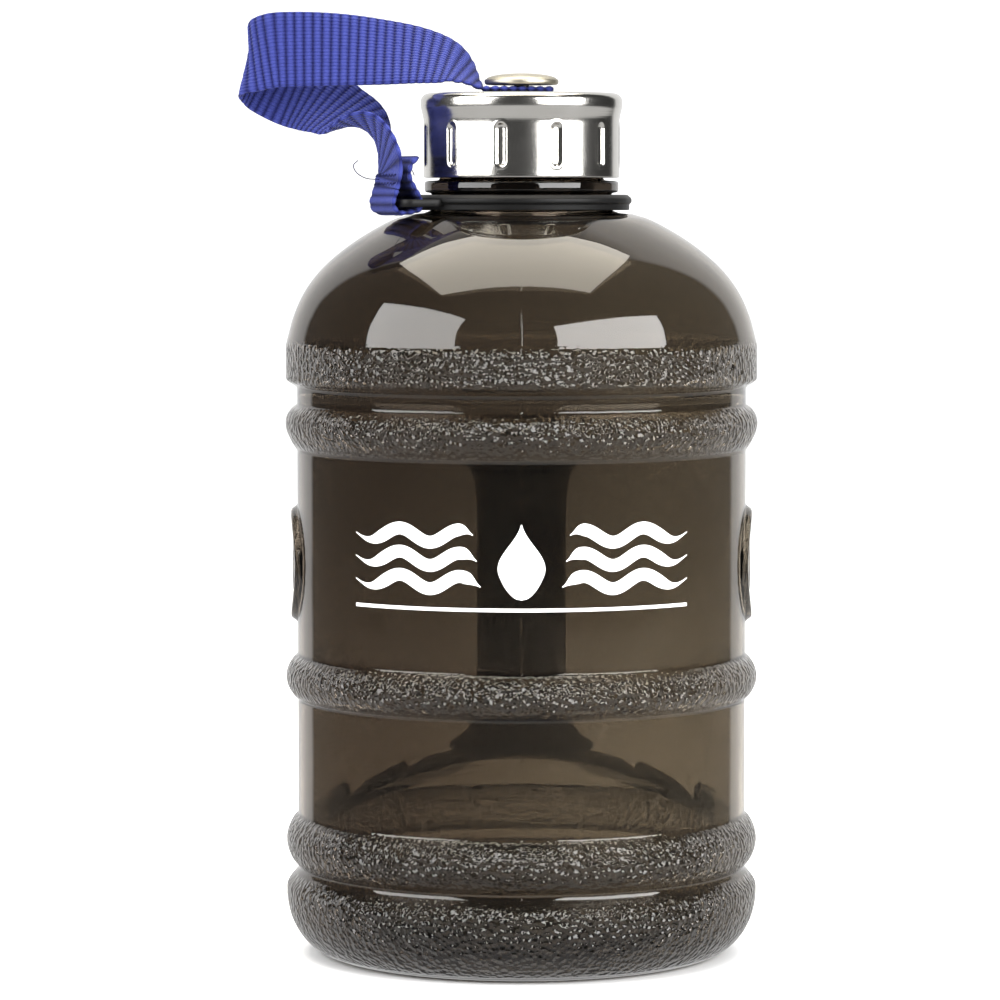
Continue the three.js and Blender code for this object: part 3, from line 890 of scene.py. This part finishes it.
def strap_frames(count):
    """Evenly spaced centres, widthwise and outward directions, and the distance along the strap."""
    fine = 4000
    centre = catmull([p for p, _ in STRAP_ROUTE], fine)
    across = catmull([w for _, w in STRAP_ROUTE], fine)
    step = np.linalg.norm(np.diff(centre, axis=0), axis=1)
    travelled = np.concatenate([[0], np.cumsum(step)])
    distance = np.linspace(0, travelled[-1], count)
    centre = np.stack([np.interp(distance, travelled, centre[:, i]) for i in range(3)], -1)
    across = np.stack([np.interp(distance, travelled, across[:, i]) for i in range(3)], -1)
    kernel = np.hanning(15)
    kernel /= kernel.sum()
    padded = np.pad(centre, ((7, 7), (0, 0)), mode="reflect", reflect_type="odd")
    centre = np.stack([np.convolve(padded[:, i], kernel, mode="valid") for i in range(3)], -1)
    forward = np.gradient(centre, axis=0)
    forward /= np.linalg.norm(forward, axis=1, keepdims=True)
    across -= (across * forward).sum(1, keepdims=True) * forward
    across /= np.linalg.norm(across, axis=1, keepdims=True)
    return centre, across, np.cross(forward, across), distance


def strap(material):
    """The webbing in one piece, with its ribs in the mesh and its ends narrowed."""
    centre, across, outward, distance = strap_frames(900)
    lanes = 22
    turn = np.linspace(-1, 1, lanes)
    position = np.sign(turn) * (1 - (1 - np.abs(turn)) ** 1.25) * WEB_HALF_WIDTH
    edge = np.sqrt(np.clip(1 - (np.abs(position) / (WEB_HALF_WIDTH + 0.12)) ** 14, 0.05, 1))
    head = np.clip(distance / 8.6, 0, 1)
    narrow = 0.84 * np.sqrt(np.clip(1 - (1 - head) ** 2, 0.02, 1)) + 0.16 * smooth(8, 16, distance)
    narrow = narrow * (1 - 0.06 * np.exp(-(((distance - 19) / 5) ** 2)))
    rib = np.abs(np.sin(math.pi * distance / WEB_RIB_PITCH))
    rng = np.random.default_rng(SEED + 2)
    worn = 1 + 0.12 * rng.normal(size=(len(distance), lanes))
    rows = []
    crest = []
    for face in (1, -1):
        order = slice(None) if face < 0 else slice(None, None, -1)
        thick = (WEB_HALF_THICKNESS - 0.34 + 0.36 * rib[:, None] * worn) * edge[None, :]
        sheet = (centre[:, None] + across[:, None] * (position[None, :, None] * narrow[:, None, None])
                 + outward[:, None] * (face * thick[..., None]))
        rows.append(sheet[:, order])
        crest.append(np.broadcast_to(rib[:, None], thick.shape)[:, order])
    grid = np.concatenate([rows[1], rows[0]], axis=1)
    made = skin("strap_webbing", grid, material, poles=(centre[0], centre[-1]))
    flat = np.concatenate([position, position[::-1]])
    point_attribute(made, "across", np.broadcast_to(flat, grid.shape[:2]).reshape(-1))
    point_attribute(made, "along", np.broadcast_to(distance[:, None], grid.shape[:2]).reshape(-1))
    # The crest attribute carries the rib height for the painted shade in the valleys and the painted
    # highlight on the crests.
    point_attribute(made, "crest", np.concatenate([crest[1], crest[0]], axis=1).reshape(-1))
    return made


def stitches(material):
    """Two rows of sewing through both layers of the fold, and the loose ends of thread beside it."""
    made = []
    for number, height in enumerate((206.6, 208.9)):
        points = []
        for i, lane in enumerate(np.linspace(-8.6, 8.6, 29)):
            out = 38.9 if i % 2 else 38.3
            points.append((-out + (height - 206) * 0.2, lane, height + (0.35 if i % 4 < 2 else -0.1)))
        made.append(tube(f"stitch_row_{number + 1}", rotate(points, TAB_ANGLE), 0.28, material, 6))
    ends = {
        "loose_thread_1": [(-37.5, -8, 208), (-41, -10.5, 208.2), (-43.6, -11.5, 209.6),
                           (-44.6, -11.8, 211.6), (-43.4, -11.6, 213)],
        "loose_thread_2": [(-33.2, -9.5, 211), (-30.8, -11.5, 209.6), (-29.2, -12.6, 210.4),
                           (-28.4, -13, 209)],
        "loose_thread_3": [(-33.6, -9.4, 208), (-30.9, -12.2, 206), (-29.4, -12.6, 203.6)],
    }
    for name, points in ends.items():
        made.append(tube(name, catmull(points, 26), 0.13, material, 6))
    return made


# ------------------------------------------------------------------ camera, light and floor

CAMERA_DISTANCE = 1.22364
CAMERA_HEIGHT = 0.2058
CAMERA_TILT = math.radians(3.9233)
CAMERA_LENS = 164.0
CAMERA_SHIFT = -0.0215
SOFTBOX = 6.0
BACKDROP = 1.3


def camera():
    """A long lens level with the cap, tipped down a little."""
    data = bpy.data.cameras.new("camera")
    data.lens = CAMERA_LENS
    data.sensor_width = 36.0
    data.shift_x = CAMERA_SHIFT
    data.clip_end = 20
    made = bpy.data.objects.new("camera", data)
    made.location = (0, -CAMERA_DISTANCE, CAMERA_HEIGHT)
    made.rotation_euler = (math.pi / 2 - CAMERA_TILT, 0, 0)
    bpy.context.scene.collection.objects.link(made)
    bpy.context.scene.camera = made


def softbox(name, place, target, size, radiance, colour=(1, 1, 1)):
    """A rectangular panel light of even brightness."""
    data = bpy.data.lights.new(name, "AREA")
    data.shape = "RECTANGLE"
    data.size, data.size_y = size
    data.energy = 4 * radiance * size[0] * size[1]
    data.color = colour
    made = bpy.data.objects.new(name, data)
    made.location = place
    made.rotation_euler = (Vector(target) - Vector(place)).to_track_quat("-Z", "Y").to_euler()
    made.visible_camera = False
    bpy.context.scene.collection.objects.link(made)


def floor():
    """Pale paper that the jug stands on."""
    size = 6.0
    data = bpy.data.meshes.new("floor")
    corners = [(-size, -size, 0), (size, -size, 0), (size, size, 0), (-size, size, 0)]
    data.from_pydata(corners, [], [(0, 1, 2, 3)])
    made = bpy.data.objects.new("floor", data)
    made.location.z = -0.0002
    m = Finish("floor_paper")
    m.set(Roughness=0.9, Specular_IOR_Level=0.1)
    m.link(m.colours(m.noise(3, 2), (0.0, (0.90, 0.90, 0.90)), (1.0, (0.93, 0.93, 0.93))), "Base Color")
    data.materials.append(m.material)
    bpy.context.scene.collection.objects.link(made)
    made.visible_glossy = False


def surroundings():
    """A white backdrop, with a darker stretch of studio round the camera's side for reflections."""
    world = bpy.data.worlds.new("studio")
    bpy.context.scene.world = world
    world.use_nodes = True
    world.node_tree.nodes.clear()
    w = Nodes(world.node_tree)
    generated = w.node("ShaderNodeTexCoord").outputs["Generated"]
    direction = w.node("ShaderNodeSeparateXYZ", {"Vector": generated}).outputs
    bearing = w.maths("ARCTAN2", direction["X"], w.maths("MULTIPLY", direction["Y"], -1.0))
    turn = w.maths("ADD", w.maths("DIVIDE", bearing, 2 * math.pi), 0.5)
    white, dark = (1.0, 1.0, 1.0), (0.05, 0.05, 0.05)
    shade = w.colours(turn, (0.0, white), (0.118, white), (0.128, dark),
                      (0.872, dark), (0.882, white), (1.0, white))
    for low, high, grey in ((0.75, 0.9, 0.08), (-0.155, -0.21, 0.75)):
        shade = w.mix(w.share(direction["Z"], low, high), shade, (grey, grey, grey, 1))
    path = w.node("ShaderNodeLightPath").outputs
    seen = w.maths("MAXIMUM", path["Is Camera Ray"], path["Is Transmission Ray"])
    final = w.mix(seen, shade, (BACKDROP, BACKDROP, BACKDROP, 1))
    background = w.node("ShaderNodeBackground", {"Color": final, "Strength": 1.0})
    w.node("ShaderNodeOutputWorld", {"Surface": background.outputs[0]})


def around(bearing, rise, distance):
    """A place seen from the cap at a bearing from the camera's side, in degrees."""
    bearing, rise = math.radians(bearing), math.radians(rise)
    flat = distance * math.cos(rise)
    return (flat * math.sin(bearing), -flat * math.cos(bearing), 0.2 + distance * math.sin(rise))


def lights():
    """Three panels that show in reflections, and an even fill that doesn't."""
    cap = (0, 0, 0.2)
    softbox("softbox_top", (-0.045, 0.045, 1.03), (-0.045, 0.0451, 0), (0.99, 0.80), SOFTBOX * 0.8,
            (1, 0.95, 0.84))
    softbox("softbox_left", around(-58, 19, 1.0), cap, (0.85, 0.71), SOFTBOX)
    softbox("softbox_right", around(47, 16, 1.0), cap, (1.02, 0.61), SOFTBOX * 1.4)
    data = bpy.data.lights.new("overall", "SUN")
    data.energy = 3.8
    data.angle = math.radians(80)
    made = bpy.data.objects.new("overall", data)
    made.location = (0, 0, 2)
    made.visible_glossy = False
    made.visible_transmission = False
    made.visible_camera = False
    bpy.context.scene.collection.objects.link(made)


def render_settings():
    """Light paths long enough for the nested clear walls."""
    scene = bpy.context.scene
    scene.view_settings.view_transform = "Standard"
    scene.view_settings.look = "None"
    scene.cycles.max_bounces = 20
    scene.cycles.transmission_bounces = 20
    scene.cycles.glossy_bounces = 6
    scene.cycles.transparent_max_bounces = 12
    scene.cycles.caustics_reflective = False
    scene.cycles.caustics_refractive = True
    scene.cycles.use_denoising = True
    scene.cycles.sample_clamp_indirect = 6.0


# ------------------------------------------------------------------ assembly

def finish_piece(made, body, slot, *nodes):
    """Hides the CAD nodes that the piece stands in for and hangs it on the body that it rides on. The slot
    is not used.
    """
    if nodes:
        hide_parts(*nodes)
    if body:
        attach(made, body)
    return made


def build():
    """The whole scene: surroundings, materials, then each piece on its body."""
    camera()
    floor()
    surroundings()
    lights()
    render_settings()

    smoke = bottle_plastic()
    steel = cap_steel()
    metal = rivet_metal()
    ring_black = black_plastic("ring_plastic", 0.004, 0.42)
    liner_black = black_plastic("liner_plastic", 0.004, 0.25)
    rubber = seal_rubber()
    cloth = webbing_cloth()
    ink = print_ink()

    finish_piece(bottle_body(smoke), "bottle", "bottle", "bottle_body")
    finish_piece(handle(smoke), "bottle", "bottle")
    for mark in front_print(ink):
        finish_piece(mark, "bottle", "bottle")
    finish_piece(cap_shell(steel), "cap", "cap_steel", "cap_shell")
    finish_piece(rivet_head(metal), "cap_pivot", "rivet_metal", "rivet")
    finish_piece(neck_ring(ring_black), "neck_ring", "ring_plastic", "neck_ring")
    finish_piece(neck_tab(ring_black), "neck_ring", "ring_plastic")
    for piece in stitches(cloth):
        finish_piece(piece, "neck_ring", "webbing")
    webbing = finish_piece(strap(cloth), None, "webbing", "strap_upper", "strap_lower")
    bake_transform(webbing)

    for node, material in (("cap_liner", liner_black), ("cap_gasket", rubber), ("rivet_washer", metal)):
        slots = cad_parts[node].data.materials
        slots.clear()
        slots.append(material)


build()
